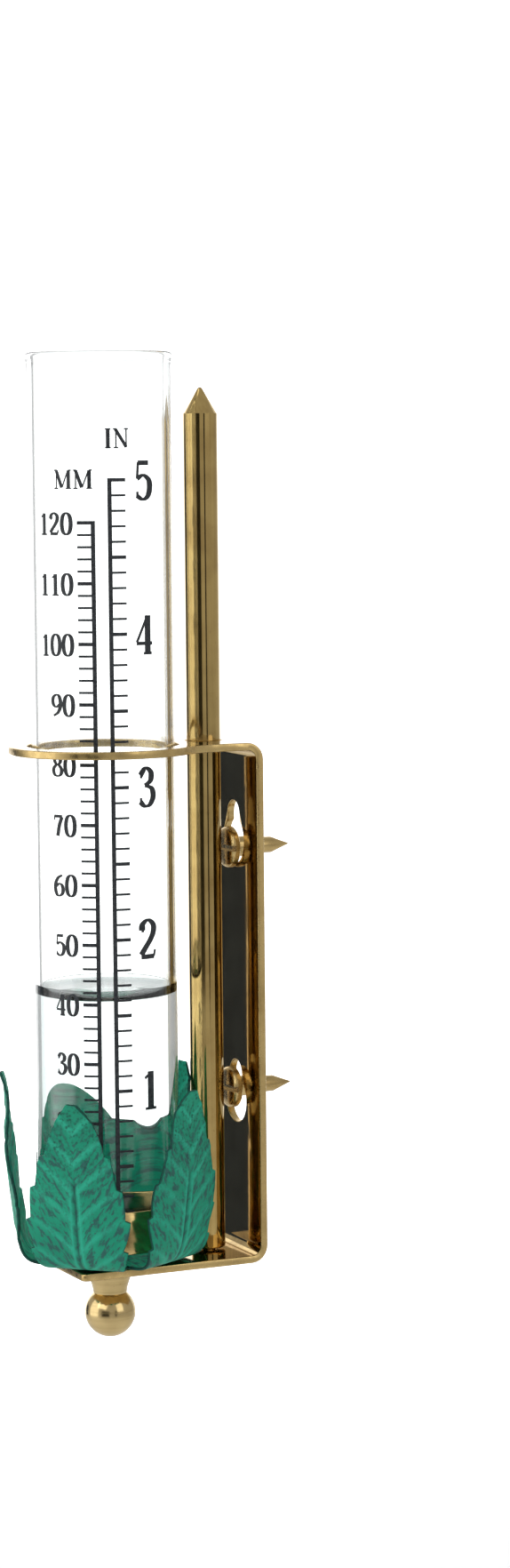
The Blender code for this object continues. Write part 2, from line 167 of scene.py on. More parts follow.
def brass(name, light, dark, roughness, streaks, streak_strength=0.12):
    """Brass with fine tool or rolling streaks, small stains and a little tarnish. Streaks run where their scale is low."""
    paint = Paint(name, Metallic=1.0, Specular_IOR_Level=0.5)
    fine = paint.noise(paint.place(streaks), 1.0, 3.0)
    cloud = paint.noise(paint.place(), 160.0, 3.0)
    specks = paint.noise(paint.place(), 1900.0, 2.0)
    stain = paint.between(cloud, 0.42, 0.72) * 0.45 + paint.between(fine, 0.35, 0.7) * 0.3
    stain = stain + paint.between(specks, 0.68, 0.76) * 0.35
    paint.put("Base Color", paint.mix(stain, light, dark))
    paint.put("Roughness", paint.between(fine, 0.3, 0.75, roughness * 0.75, roughness * 1.5) + stain * 0.05)
    paint.bump(fine, streak_strength, 0.02 * MM)
    return paint.material


def clear_glass():
    """Clear glass with a faint cool tint and hardly visible waves."""
    paint = Paint("clear_glass", Transmission_Weight=1.0, IOR=1.47)
    haze = paint.noise(paint.place((1, 1, 0.3)), 140.0, 2.0)
    paint.put("Base Color", paint.mix(paint.between(haze, 0.3, 0.7), (0.985, 0.995, 0.99), (0.97, 0.985, 0.982)))
    paint.put("Roughness", paint.between(haze, 0.4, 0.8, 0.0, 0.025))
    paint.bump(haze, 0.05, 0.02 * MM)
    return paint.material


def rain():
    """Rain water: clear, with a faint swirl, and painted grey where its skin climbs the wall, as painted shade for
    the dark band that the meniscus shows.
    """
    paint = Paint("rain_water", Transmission_Weight=1.0, IOR=1.333, Roughness=0.0)
    where = paint.node("ShaderNodeTexCoord", {}, {}, "Object")
    height = paint.node("ShaderNodeSeparateXYZ", {}, {"Vector": where}, "Z")
    swirl = paint.noise(paint.place((1, 1, 0.4)), 90.0, 2.0)
    clear = paint.mix(swirl, (0.985, 0.995, 0.995), (0.96, 0.98, 0.98))
    # Painted shade: the water's colour turns grey in the meniscus band, standing in for the darkness that its
    # curved skin shows
    skin = paint.between(height, WATER_TOP_Z + 0.1 * MM, WATER_TOP_Z + 0.6 * MM)
    paint.put("Base Color", paint.mix(skin, clear, (0.74, 0.78, 0.78)))
    paint.bump(swirl, 0.03, 0.02 * MM)
    return paint.material


def printing_ink():
    """Black screen-printed ink with a slightly uneven, greyer film."""
    paint = Paint("printing_ink", Specular_IOR_Level=0.3)
    film = paint.noise(paint.place(), 2600.0, 3.0)
    paint.put("Base Color", paint.mix(paint.between(film, 0.35, 0.7), (0.012, 0.014, 0.018), (0.04, 0.045, 0.05)))
    paint.put("Roughness", paint.between(film, 0.3, 0.7, 0.4, 0.6))
    paint.bump(film, 0.15, 0.02 * MM)
    return paint.material


def verdigris(name, glow=0.0, dark=0.0):
    """Green patina: brighter on the veins, grey-teal in the hollows between them, stippled towards the tip.

    A little glow stands for the light that comes through the glass to the side that faces the tube.
    """
    paint = Paint(name, Metallic=0.0, Specular_IOR_Level=0.22, Emission_Strength=glow)
    leaf = paint.node("ShaderNodeUVMap", {"uv_map": "leaf"}, {})
    vein = paint.node("ShaderNodeAttribute", {"attribute_name": "vein"}, {}, "Fac")
    groove = paint.node("ShaderNodeAttribute", {"attribute_name": "groove"}, {}, "Fac")
    tip = paint.node("ShaderNodeAttribute", {"attribute_name": "tip"}, {}, "Fac")
    streaked = paint.node("ShaderNodeMapping", {}, {"Vector": leaf, "Scale": (8.5, 7.5, 1.0)})
    blotch = paint.noise(streaked, 1.0, 5.0, 0.65)
    grain = paint.noise(paint.place(), 1500.0, 4.0, 0.6)
    drift = paint.noise(paint.place(), 110.0, 3.0)
    dots = paint.node("ShaderNodeTexVoronoi", {}, {"Vector": paint.place(), "Scale": 1700.0})
    hollow = paint.between(blotch, 0.495, 0.56) * (1 - vein) * paint.between(tip, 0.99, 0.8)
    stipple = paint.between(dots, 0.62, 0.3) * paint.between(tip, 0.5, 0.85) * paint.between(grain, 0.42, 0.6)
    body = paint.ramp(
        paint.between(drift, 0.25, 0.75) * 0.6 + grain * 0.4,
        (0.0, (0.008, 0.190, 0.125)),
        (0.5, (0.010, 0.270, 0.160)),
        (1.0, (0.018, 0.370, 0.225)),
    )
    lifted = paint.mix(vein * 0.75, body, (0.030, 0.46, 0.300))
    worn = paint.mix(hollow * 0.85, lifted, (0.028, 0.088, 0.088))
    ribbed = paint.mix(groove * 0.8, worn, (0.016, 0.075, 0.068))
    stippled = paint.mix(stipple * 0.8, ribbed, (0.010, 0.065, 0.050))
    colour = paint.mix(dark, stippled, (0.006, 0.045, 0.038))
    paint.put("Base Color", colour)
    paint.put("Emission Color", colour)
    paint.put("Roughness", paint.between(grain, 0.3, 0.7, 0.5, 0.75))
    paint.bump(grain * 0.5 + blotch * 0.8 + stipple * -0.5, 0.5, 0.12 * MM)
    return paint.material


def floor_paint():
    paint = Paint("pale_floor", Roughness=0.9, Specular_IOR_Level=0.1)
    mottle = paint.noise(paint.place(), 6.0, 3.0)
    paint.put("Base Color", paint.mix(mottle, (0.93, 0.93, 0.93), (0.9, 0.905, 0.905)))
    return paint.material


ALONG_Z = (1500.0, 1500.0, 18.0)
ROUND_Z = (60.0, 60.0, 2600.0)
STRIP_BRASS = brass("strip_brass", (0.60, 0.43, 0.18), (0.27, 0.175, 0.068), 0.07, ALONG_Z, 0.05)
ROD_BRASS = brass("rod_brass", (0.53, 0.38, 0.145), (0.27, 0.165, 0.055), 0.07, ALONG_Z, 0.06)
KNOB_BRASS = brass("knob_brass", (0.62, 0.47, 0.225), (0.38, 0.275, 0.115), 0.17, ROUND_Z)
SOCKET_BRASS = brass("socket_brass", (0.60, 0.44, 0.19), (0.33, 0.225, 0.085), 0.16, ROUND_Z)
EDGE_BRASS = brass("cut_edge_brass", (0.62, 0.45, 0.19), (0.34, 0.23, 0.09), 0.26, (700.0, 700.0, 700.0))
SCREW_BRASS = brass("screw_brass", (0.58, 0.42, 0.18), (0.26, 0.17, 0.065), 0.22, (1800.0, 60.0, 1800.0))
WATER_TOP_Z = SCALE_ZERO_Z + 40.2 * MM
GLASS = clear_glass()
WATER = rain()
INK = printing_ink()
PATINA = verdigris("verdigris")
# Painted light: the sides of the leaves that face the tube glow a little, standing in for the light that comes to
# them through the glass
INNER_PATINA = verdigris("verdigris_inside", glow=0.35)
EDGE_PATINA = verdigris("verdigris_edge", dark=0.8)


# Making pieces -----------------------------------------------------------------------------------------------


def piece(name, shape, paint, body, replaced=(), crease=35):
    """A finished mesh: smooth with sharp creases, painted, riding on its body."""
    bmesh.ops.remove_doubles(shape, verts=shape.verts, dist=0.0005 * MM)
    mesh = bpy.data.meshes.new(name)
    shape.to_mesh(mesh)
    shape.free()
    mesh.materials.append(paint)
    for face in mesh.polygons:
        face.use_smooth = True
    mesh.set_sharp_from_angle(angle=math.radians(crease))
    made = bpy.data.objects.new(name, mesh)
    bpy.context.scene.collection.objects.link(made)
    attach(made, body)
    if replaced:
        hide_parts(*replaced)
    return made


def arc(centre, radius, start, end, steps):
    """Points on an arc in a profile's plane, from start to end in degrees."""
    turns = [math.radians(start + (end - start) * step / steps) for step in range(steps + 1)]
    return [(centre[0] + radius * math.cos(turn), centre[1] + radius * math.sin(turn)) for turn in turns]


def turned(profile, y=AXIS_Y, steps=96):
    """A solid turned about a vertical axis at y, from a closed profile of (radius, height)."""
    shape = bmesh.new()
    points = [shape.verts.new((radius, 0, height)) for radius, height in profile]
    for first, second in zip(points, points[1:]):
        shape.edges.new((first, second))
    if profile[0][0] > 0:
        shape.edges.new((points[-1], points[0]))
    bmesh.ops.spin(
        shape,
        geom=shape.verts[:] + shape.edges[:],
        cent=(0, 0, 0),
        axis=(0, 0, 1),
        angle=math.tau,
        steps=steps,
        use_merge=True,
        use_duplicate=False,
    )
    bmesh.ops.remove_doubles(shape, verts=shape.verts, dist=0.0005 * MM)
    bmesh.ops.recalc_face_normals(shape, faces=shape.faces)
    bmesh.ops.translate(shape, verts=shape.verts, vec=(0, y, 0))
    return shape


# Glass tube, water and printed scale -------------------------------------------------------------------------

TUBE_BORE = TUBE_R - TUBE_WALL
TUBE_FLOOR_Z = TUBE_LOW.z + 1.2 * MM


def make_tube():
    low, high = TUBE_LOW.z, TUBE_HIGH.z
    lip = TUBE_R + 0.3 * MM
    profile = arc((TUBE_BORE + 0.6 * MM, high - 0.6 * MM), 0.6 * MM, 170, 90, 5)
    profile += arc((lip - 0.7 * MM, high - 0.7 * MM), 0.7 * MM, 90, -30, 7)
    profile += [(TUBE_R, high - 2.4 * MM), (TUBE_R, high - 40 * MM), (TUBE_R, low + 40 * MM)]
    profile += arc((TUBE_R - 1.8 * MM, low + 1.8 * MM), 1.8 * MM, 0, -90, 8)
    profile += [(0, low), (0, TUBE_FLOOR_Z)]
    profile += arc((TUBE_BORE - 1.4 * MM, TUBE_FLOOR_Z + 1.4 * MM), 1.4 * MM, -90, 0, 8)
    profile += [(TUBE_BORE, low + 40 * MM), (TUBE_BORE, high - 40 * MM), (TUBE_BORE, high - 2.4 * MM)]
    piece("glass_tube", turned(profile, steps=128), GLASS, "tube", ["gauge_tube"])


def make_water():
    """Rain in the tube, wetting the wall: its skin lies inside the glass, so that no air shows between them."""
    radius = TUBE_BORE + 0.15 * MM
    top = WATER_TOP_Z
    profile = [(0, top), (TUBE_BORE * 0.6, top)]
    profile += arc((TUBE_BORE - 2.2 * MM, top + 2.2 * MM), 2.2 * MM, -90, -8, 10)
    profile += [(radius, top + 1.95 * MM), (radius, top - 10 * MM)]
    profile += arc((radius - 1.4 * MM, TUBE_FLOOR_Z + 1.3 * MM), 1.4 * MM, 0, -90, 8)
    profile += [(0, TUBE_FLOOR_Z - 0.1 * MM)]
    piece("rain_water", turned(profile, steps=128), WATER, "tube")


INK_THICK = 0.03 * MM
INCH = 25.4 * MM
BAR_HALF = 0.36 * MM
MM_BAR_X = -1.2 * MM  # across the printed side, to the right of its middle
IN_BAR_X = 1.6 * MM
TICK_END = 2.7 * MM
FINE_TICK = 0.19 * MM
BOLD_TICK = 0.3 * MM

# Half widths of a line in shares of the height of the letter, where it runs across and where it runs up
PEN = (0.036, 0.094)
HAIR = (0.036, 0.036)
SLAB = (0.062, 0.062)
BEAD = (0.065, 0.065)

# Each sign: its width, then its lines, each with a pen, whether it closes, and its points, in shares of its height
SIX = ((0.45, 0.97), (0.22, 0.84), (0.08, 0.58), (0.07, 0.3), (0.15, 0.08), (0.28, 0.02))
SIX += ((0.44, 0.12), (0.49, 0.3), (0.43, 0.5), (0.28, 0.57), (0.1, 0.45))
ROUND = ((0.275, 0.98), (0.115, 0.85), (0.06, 0.5), (0.115, 0.15), (0.275, 0.02), (0.435, 0.15), (0.49, 0.5), (0.435, 0.85))
SIGNS = {
    "0": (0.55, ((PEN, True, ROUND),)),
    "1": (
        0.55,
        (
            (PEN, False, ((0.3, 0.97), (0.3, 0.02))),
            (HAIR, False, ((0.12, 0.8), (0.3, 0.93))),
            (HAIR, False, ((0.13, 0.02), (0.47, 0.02))),
        ),
    ),
    "2": (
        0.55,
        (
            (PEN, False, ((0.09, 0.72), (0.11, 0.88), (0.27, 0.98), (0.43, 0.86), (0.44, 0.68), (0.34, 0.48), (0.17, 0.26), (0.06, 0.1))),
            (SLAB, False, ((0.06, 0.05), (0.46, 0.05))),
            (HAIR, False, ((0.45, 0.05), (0.49, 0.22))),
            (BEAD, False, ((0.07, 0.74), (0.15, 0.74))),
        ),
    ),
    "3": (
        0.55,
        (
            (PEN, False, ((0.09, 0.8), (0.25, 0.98), (0.42, 0.86), (0.4, 0.66), (0.22, 0.54))),
            (PEN, False, ((0.22, 0.54), (0.43, 0.46), (0.49, 0.26), (0.38, 0.06), (0.22, 0.02), (0.08, 0.14))),
            (BEAD, False, ((0.08, 0.79), (0.15, 0.79))),
            (BEAD, False, ((0.07, 0.17), (0.14, 0.17))),
        ),
    ),
    "4": (
        0.55,
        (
            (HAIR, False, ((0.36, 0.97), (0.04, 0.3))),
            ((0.045, 0.045), False, ((0.03, 0.27), (0.52, 0.27))),
            (PEN, False, ((0.37, 0.97), (0.37, 0.02))),
            (HAIR, False, ((0.24, 0.02), (0.5, 0.02))),
        ),
    ),
    "5": (
        0.55,
        (
            (SLAB, False, ((0.12, 0.93), (0.45, 0.93))),
            (HAIR, False, ((0.13, 0.95), (0.1, 0.53))),
            (PEN, False, ((0.1, 0.53), (0.28, 0.62), (0.46, 0.5), (0.49, 0.3), (0.42, 0.1), (0.26, 0.02), (0.08, 0.12))),
            (BEAD, False, ((0.07, 0.15), (0.14, 0.15))),
        ),
    ),
    "6": (0.55, ((PEN, False, SIX),)),
    "7": (
        0.55,
        (
            (SLAB, False, ((0.06, 0.92), (0.49, 0.92))),
            (PEN, False, ((0.48, 0.9), (0.33, 0.5), (0.24, 0.02))),
            (HAIR, False, ((0.07, 0.95), (0.06, 0.75))),
        ),
    ),
    "8": (
        0.55,
        (
            (PEN, True, ((0.275, 0.98), (0.15, 0.9), (0.11, 0.76), (0.17, 0.61), (0.275, 0.54), (0.4, 0.62), (0.44, 0.76), (0.41, 0.9))),
            (PEN, True, ((0.275, 0.54), (0.1, 0.42), (0.05, 0.25), (0.12, 0.08), (0.275, 0.02), (0.43, 0.08), (0.5, 0.25), (0.44, 0.42))),
        ),
    ),
    "9": (0.55, ((PEN, False, tuple((0.55 - x, 1 - y) for x, y in SIX)),)),
    "I": (
        0.4,
        (
            (PEN, False, ((0.2, 0.98), (0.2, 0.02))),
            (HAIR, False, ((0.05, 0.98), (0.35, 0.98))),
            (HAIR, False, ((0.05, 0.02), (0.35, 0.02))),
        ),
    ),
    "N": (
        0.84,
        (
            (HAIR, False, ((0.15, 0.02), (0.15, 0.97))),
            (PEN, False, ((0.12, 0.97), (0.7, 0.05))),
            (HAIR, False, ((0.7, 0.98), (0.7, 0.02))),
            (HAIR, False, ((0.03, 0.02), (0.27, 0.02))),
            (HAIR, False, ((0.0, 0.98), (0.2, 0.98))),
            (HAIR, False, ((0.58, 0.98), (0.82, 0.98))),
        ),
    ),
    "M": (
        1.04,
        (
            (HAIR, False, ((0.15, 0.02), (0.17, 0.97))),
            (PEN, False, ((0.16, 0.97), (0.48, 0.06))),
            (HAIR, False, ((0.5, 0.06), (0.84, 0.97))),
            (PEN, False, ((0.87, 0.97), (0.87, 0.02))),
            (HAIR, False, ((0.03, 0.02), (0.27, 0.02))),
            (HAIR, False, ((0.72, 0.02), (1.02, 0.02))),
            (HAIR, False, ((0.03, 0.98), (0.2, 0.98))),
            (HAIR, False, ((0.85, 0.98), (1.02, 0.98))),
        ),
    ),
}
SIGN_GAP = 0.07


def between_points(before, start, end, after, t):
    """A value on a smooth curve from start to end, a share t of the way."""
    square = 2 * before - 5 * start + 4 * end - after
    cube = 3 * start - before - 3 * end + after
    return (2 * start + (end - before) * t + square * t * t + cube * t**3) / 2


def smooth_line(points, closed, steps=6):
    """Closely spaced places on a smooth line through the points."""
    count = len(points)
    line = []
    for index in range(count if closed else count - 1):
        near = [index - 1, index, index + 1, index + 2]
        near = [place % count if closed else min(max(place, 0), count - 1) for place in near]
        for step in range(steps):
            values = zip(*(points[place] for place in near))
            line.append(tuple(between_points(*four, step / steps) for four in values))
    if not closed:
        line.append(points[-1])
    return line


def ink_line(shape, points, pen, closed=False):
    """A raised line of ink through the points, as wide as the pen makes it in the direction it runs."""
    rows = []
    count = len(points)
    for index, (x, y) in enumerate(points):
        last = points[index - 1] if index or closed else points[0]
        following = points[(index + 1) % count] if closed or index < count - 1 else points[-1]
        along = Vector((following[0] - last[0], following[1] - last[1])).normalized()
        half = pen[0] + (pen[1] - pen[0]) * abs(along.y) ** 1.5
        side = Vector((-along.y, along.x)) * half
        edges = ((x + side.x, y + side.y), (x - side.x, y - side.y))
        corners = [(*edges[0], 0), (*edges[0], INK_THICK), (*edges[1], INK_THICK), (*edges[1], 0)]
        rows.append([shape.verts.new(corner) for corner in corners])
    pairs = list(zip(rows, rows[1:]))
    if closed:
        pairs.append((rows[-1], rows[0]))
    else:
        shape.faces.new(rows[0])
        shape.faces.new(rows[-1])
    for first, second in pairs:
        for index in range(4):
            after = (index + 1) % 4
            shape.faces.new((first[index], first[after], second[after], second[index]))


def word_width(word):
    return sum(SIGNS[sign][0] for sign in word) + SIGN_GAP * (len(word) - 1)


def printed_word(shape, word, height, left, low, wide=1.0, weight=1.0):
    """A word in ink, with its lower left corner at (left, low)."""
    ink = height * weight
    for sign in word:
        width, lines = SIGNS[sign]
        for pen, closed, points in lines:
            placed = [(left + x * height * wide, low + y * height) for x, y in points]
            ink_line(shape, smooth_line(placed, closed), (pen[0] * ink, pen[1] * ink), closed)
        left += (width + SIGN_GAP) * height * wide


def make_scale():
    """Two printed rulers back to back: millimetres on the left, inches on the right."""
    shape = bmesh.new()
    bar = (BAR_HALF, BAR_HALF)
    ink_line(shape, [(IN_BAR_X, 5 * MM), (IN_BAR_X, 5 * INCH + BOLD_TICK)], bar)
    ink_line(shape, [(MM_BAR_X, 8 * MM), (MM_BAR_X, 120 * MM + BOLD_TICK)], bar)
    for tenth in range(2, 51):
        half = BOLD_TICK if tenth % 5 == 0 else FINE_TICK
        height = tenth * INCH / 10
        ink_line(shape, smooth_line([(IN_BAR_X, height), (IN_BAR_X + TICK_END, height)], False), (half, half))
    for pair in range(5, 61):
        half = BOLD_TICK if pair % 5 == 0 else FINE_TICK
        height = pair * 2 * MM
        ink_line(shape, smooth_line([(MM_BAR_X, height), (MM_BAR_X - TICK_END, height)], False), (half, half))
    for inch in range(1, 6):
        printed_word(shape, str(inch), 6.6 * MM, 5.8 * MM, inch * INCH - 3.4 * MM)
    for ten in range(1, 13):
        word = str(ten * 10)
        left = -4.75 * MM - word_width(word) * 3.65 * MM * 1.05
        printed_word(shape, word, 3.65 * MM, left, ten * 10 * MM - 1.97 * MM, 1.05, 1.1)
    printed_word(shape, "IN", 3.2 * MM, 0.8 * MM, 132.2 * MM, 1.0, 1.1)
    printed_word(shape, "MM", 3.1 * MM, -8.1 * MM, 125.6 * MM, 1.04, 1.1)
    for vertex in shape.verts:
        turn = SCALE_FACING - math.pi / 2 + vertex.co.x / TUBE_R
        radius = TUBE_R + 0.01 * MM + vertex.co.z
        height = SCALE_ZERO_Z + vertex.co.y
        vertex.co = Vector((radius * math.cos(turn), AXIS_Y + radius * math.sin(turn), height))
    bmesh.ops.recalc_face_normals(shape, faces=shape.faces)
    piece("printed_scale", shape, INK, "tube")


# Leaves ------------------------------------------------------------------------------------------------------

# Along a leaf in mm, from the stud hole outwards: radius, height above the flat hub, and half of the width.
# On the hub each leaf takes its fifth of the circle.
LEAF_COUNT = 5
LEAF_FIRST_TURN = 47.5  # degrees from the front, towards +X
LEAF_BY_ROD = 2  # the one that the rod pushes in
LEAF_RISE = (0.965, 1.0, 1.06, 1.03, 1.06)  # each leaf is bent up by hand to a height of its own
WEB_SLOPE = math.tan(math.pi / LEAF_COUNT)
LEAF_RUN = (
    (2.3, 0.0, 2.3 * WEB_SLOPE),
    (5.3, 0.0, 5.3 * WEB_SLOPE),
    (8.3, 0.0, 8.3 * WEB_SLOPE),
    (11.2, 0.1, 6.4),
    (13.4, 0.9, 7.4),
    (14.7, 2.5, 8.2),
    (15.5, 4.9, 8.8),
    (16.0, 8.0, 9.2),
    (16.4, 11.2, 9.0),
    (16.8, 14.4, 8.4),
    (17.1, 17.6, 7.4),
    (17.2, 20.8, 6.2),
    (17.1, 24.0, 4.8),
    (17.2, 27.2, 3.0),
    (18.0, 30.0, 0.9),
)
HUB_EDGE = 8.3 * MM  # radius where the leaves part
HUB_BLEND = 3.0 * MM
LEAF_STEPS = 110
LEAF_ACROSS = 44
LEAF_CURL_R = 45.0 * MM
LEAF_CURL_START = 6.0 * MM  # height by which the leaf has its full curl
PUSHED_CURL_R = 13.0 * MM
PUSHED_R = 14.5 * MM
PUSHED_TIP_R = 15.8 * MM
PUSHED_FLARE_FROM = 0.8
LEAF_TIP_HALF = 0.4 * MM
LEAF_TOOTH = 0.9 * MM
LEAF_TEETH = 4
LEAF_TEETH_FROM = 0.4
LEAF_TEETH_TO = 0.92
VEINS_FROM = 9.0  # mm along the leaf, where the first pair of side veins leaves the midrib
VEIN_PITCH = 5.4
VEIN_PAIRS = 6
VEIN_LEAN = 1.1  # mm forward for each mm across
VEIN_HALF = 0.4
VEIN_RISE = 0.22 * MM
RIB_HALF = 0.36
RIB_EDGE = 0.75
RIB_DEPTH = 0.2 * MM
RIB_FROM, RIB_TO = 8.0, 29.0  # mm along the leaf


def on_run(share):
    """Radius, height and half width at a share of the leaf's length, on a smooth curve through its points."""
    place = min(share, 0.9999) * (len(LEAF_RUN) - 1)
    index = int(place)
    last = len(LEAF_RUN) - 1
    near = [LEAF_RUN[min(max(index + step, 0), last)] for step in (-1, 0, 1, 2)]
    radius, height, half = (between_points(*four, place - index) * MM for four in zip(*near))
    return radius, max(height, 0.0), min(half, radius * WEB_SLOPE)


def tooth_depth(share):
    """How far the sawn edge is pulled in at a share of the leaf's length."""
    if not LEAF_TEETH_FROM < share < LEAF_TEETH_TO:
        return 0.0
    along = (share - LEAF_TEETH_FROM) / (LEAF_TEETH_TO - LEAF_TEETH_FROM) * LEAF_TEETH
    return LEAF_TOOTH * (1 - along % 1.0)


def lengths_along(steps):
    """Distance in mm along the leaf's middle to each of its rows."""
    total = 0.0
    last = on_run(0)
    lengths = [total]
    for step in range(1, steps + 1):
        here = on_run(step / steps)
        total += math.hypot(here[0] - last[0], here[1] - last[1]) / MM
        lengths.append(total)
        last = here
    return lengths


def vein_near(length, wide):
    """How near a place is to a raised vein, 1 on it, from its distances in mm along and across the leaf."""
    near = 0.0
    for pair in range(VEIN_PAIRS):
        start = VEINS_FROM + VEIN_PITCH * pair
        off = (length - start - abs(wide) * VEIN_LEAN + 0.04 * wide * wide) / math.hypot(1, VEIN_LEAN)
        fade = max(0.0, 1 - abs(wide) / 9.5)
        near = max(near, math.exp(-((off / VEIN_HALF) ** 2)) * fade**0.5)
    return near


def on_rib(length):
    """1 along the grooved part of the midrib, fading to 0 past its ends."""
    return min(1.0, max(0.0, (length - RIB_FROM) / 3), 1.0) * min(1.0, max(0.0, (RIB_TO - length) / 3))


def leaf_point(share, across, number, press):
    """A point of a bent leaf that lies along +X. Press moves it inwards, for what is stamped into the sheet."""
    radius, height, half = on_run(share)
    behind = on_run(max(share - 0.01, 0))
    ahead = on_run(min(share + 0.01, 1))
    slope = Vector((ahead[0] - behind[0], ahead[1] - behind[1])).normalized()
    inward = Vector((-slope.y, slope.x))
    if radius < HUB_EDGE:
        # Round the hole the rows are arcs, and at the hub's edge they are straight
        straight = (radius - LEAF_RUN[0][0] * MM) / (HUB_EDGE - LEAF_RUN[0][0] * MM)
        turn = across * math.pi / LEAF_COUNT
        round_row = Vector((radius * math.cos(turn), radius * math.sin(turn), 0))
        straight_row = Vector((radius, radius * math.tan(turn), 0))
        return round_row.lerp(straight_row, max(straight, 0))
    half = max(half - tooth_depth(share), LEAF_TIP_HALF)
    height *= LEAF_RISE[number]
    curl = min(1.0, height / LEAF_CURL_START)
    curl_r = LEAF_CURL_R
    if number == LEAF_BY_ROD:
        curl_r = PUSHED_CURL_R
        flare = max(0.0, share - PUSHED_FLARE_FROM) / (1 - PUSHED_FLARE_FROM)
        radius = min(radius, PUSHED_R + (PUSHED_TIP_R - PUSHED_R) * flare)
    turn = across * half / curl_r
    offset = curl * curl_r * (1 - math.cos(turn))
    wide = across * half * (1 - curl) + curl_r * math.sin(turn) * curl
    if radius < HUB_EDGE + HUB_BLEND:
        wide = across * half
        offset *= (radius - HUB_EDGE) / HUB_BLEND
    offset += press * curl
    return Vector((radius + inward.x * offset, wide, height + inward.y * offset))


def make_leaves():
    """The rosette: a round hub whose five leaves stand up round the cup, with raised veins and sawn edges."""
    shape = bmesh.new()
    uv = shape.loops.layers.uv.new("leaf")
    vein = shape.verts.layers.float.new("vein")
    groove = shape.verts.layers.float.new("groove")
    tip = shape.verts.layers.float.new("tip")
    lengths = lengths_along(LEAF_STEPS)
    runs = {}
    for number in range(LEAF_COUNT):
        leaf = bmesh.ops.create_grid(shape, x_segments=LEAF_STEPS, y_segments=LEAF_ACROSS, size=1)["verts"]
        for vertex in leaf:
            share, across = (vertex.co.x + 1) / 2, vertex.co.y
            length = lengths[min(round(share * LEAF_STEPS), LEAF_STEPS)]
            half = max(on_run(share)[2] - tooth_depth(share), LEAF_TIP_HALF)
            wide = across * half / MM
            rib = on_rib(length)
            raised = max(vein_near(length, wide), rib * math.exp(-(((abs(wide) - RIB_EDGE) / 0.3) ** 2)))
            sunk = rib * math.exp(-((wide / RIB_HALF) ** 2))
            wave = 0.25 * MM * math.sin(length * 0.42 + number * 1.3) * across * abs(across)
            press = RIB_DEPTH * sunk - VEIN_RISE * raised * (1 - sunk) + wave
            vertex.co = leaf_point(share, across, number, press)
            vertex[vein] = raised
            vertex[groove] = sunk
            vertex[tip] = share
            runs[vertex] = (length - abs(wide) * VEIN_LEAN + number * 20, wide + number * 27)
        # A leaf starts along +X, and the front is -Y
        turn = math.radians(LEAF_FIRST_TURN - 90 + number * 360 / LEAF_COUNT)
        bmesh.ops.rotate(shape, verts=leaf, matrix=Matrix.Rotation(turn, 3, "Z"))
    for face in shape.faces:
        for loop in face.loops:
            u, v = runs[loop.vert]
            loop[uv].uv = (u / 10, v / 10)
    bmesh.ops.remove_doubles(shape, verts=shape.verts, dist=0.01 * MM)
    bmesh.ops.translate(shape, verts=shape.verts, vec=(0, AXIS_Y, LEAF_FLAT_Z))
    made = piece("stamped_leaves", shape, INNER_PATINA, "holder", ["leaf_rosette"], 60)
    sheet = made.modifiers.new("Sheet", "SOLIDIFY")
    sheet.thickness = LEAF_THICK * 0.85
    sheet.offset = 0
    made.data.materials.append(PATINA)
    made.data.materials.append(EDGE_PATINA)
    sheet.material_offset = 1
    sheet.material_offset_rim = 2


# Brass pieces ------------------------------------------------------------------------------------------------


def merged_copy(name, node, paint, body, crease=35):
    """A node whose shape is right, with its loose triangles joined so that it shades smoothly."""
    shape = bmesh.new()
    shape.from_mesh(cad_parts[node].data)
    made = piece(name, shape, paint, body, [node], crease)
    flat = made.modifiers.new("Flat faces", "WEIGHTED_NORMAL")
    flat.keep_sharp = True
    flat.weight = 100
    return made


def make_bracket():
    """The bent strip: rolled faces that shine, and duller cut edges."""
    made = merged_copy("bent_strip", "bracket", STRIP_BRASS, "holder")
    made.data.materials.append(EDGE_BRASS)
    arm_z = BRACKET_HIGH.z - STRIP_THICK * 2.5
    for face in made.data.polygons:
        normal, spot = face.normal, face.center
        on_arm = abs(spot.z) > arm_z and spot.y < BRACKET_HIGH.y - STRIP_THICK * 2.5
        on_plate = abs(spot.z) < arm_z
        cut = abs(normal.x) > 0.5 or (on_arm and abs(normal.z) < 0.5) or (on_plate and abs(normal.y) < 0.5)
        face.material_index = int(cut)


def make_socket():
    low, high = SOCKET_LOW.z, SOCKET_HIGH.z
    base = SCALE_ZERO_Z - 2.3 * MM
    floor = SCALE_ZERO_Z - 1.4 * MM
    profile = arc((12.725 * MM, high - 0.2 * MM), 0.2 * MM, 180, 0, 6)
    profile[0] = (12.5 * MM, high - 0.2 * MM)
    profile[-1] = (13.0 * MM, high - 0.25 * MM)
    profile += arc((12.4 * MM, base + 0.6 * MM), 0.6 * MM, 0, -90, 6)
    profile += [(3.8 * MM, base), (3.8 * MM, low + 0.15 * MM), (3.65 * MM, low), (2.3 * MM, low)]
    profile += [(2.3 * MM, floor - 0.5 * MM), (0, floor - 0.5 * MM), (0, floor)]
    profile += arc((12.0 * MM, floor + 0.5 * MM), 0.5 * MM, -90, 0, 5)
    piece("tube_cup", turned(profile), SOCKET_BRASS, "holder", ["tube_socket"])


